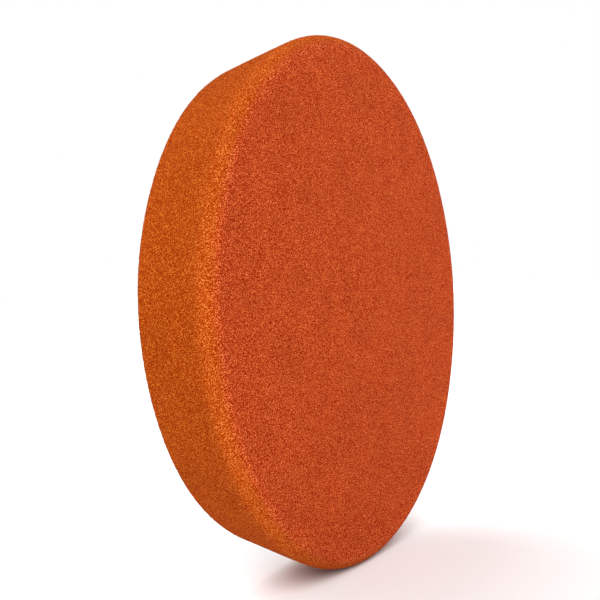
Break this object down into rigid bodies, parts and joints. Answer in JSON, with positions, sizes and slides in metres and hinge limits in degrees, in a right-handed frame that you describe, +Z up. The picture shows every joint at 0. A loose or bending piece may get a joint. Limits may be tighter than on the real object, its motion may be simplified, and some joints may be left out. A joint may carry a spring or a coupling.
{
  "type": "foam polishing pad",
  "caption": "Round open-cell foam polishing pad with a tapered side, a rounded working edge and a hook-and-loop backing for a polisher's backing plate.",
  "frame": {"origin": "centre of the loop face, which rests on the backing plate", "axes": "+Y along the pad's axis, out of the loop face towards the machine; the working face looks along -Y; +Z up with the pad standing on its edge"},
  "size_m": [0.15, 0.0272, 0.15],
  "materials": {
    "foam": "orange open-cell polyurethane foam, fine pores, fully matte",
    "film": "hot-melt adhesive film, translucent ivory, satin",
    "knit": "warp-knitted polyester ground, off-white, matte",
    "pile": "brushed polyester loops, off-white, soft sheen"
  },
  "bodies": {
    "root": {"foam_disc": "foam", "adhesive_film": "film", "knit_ground": "knit", "loop_pile": "pile"}
  },
  "joints": []
}
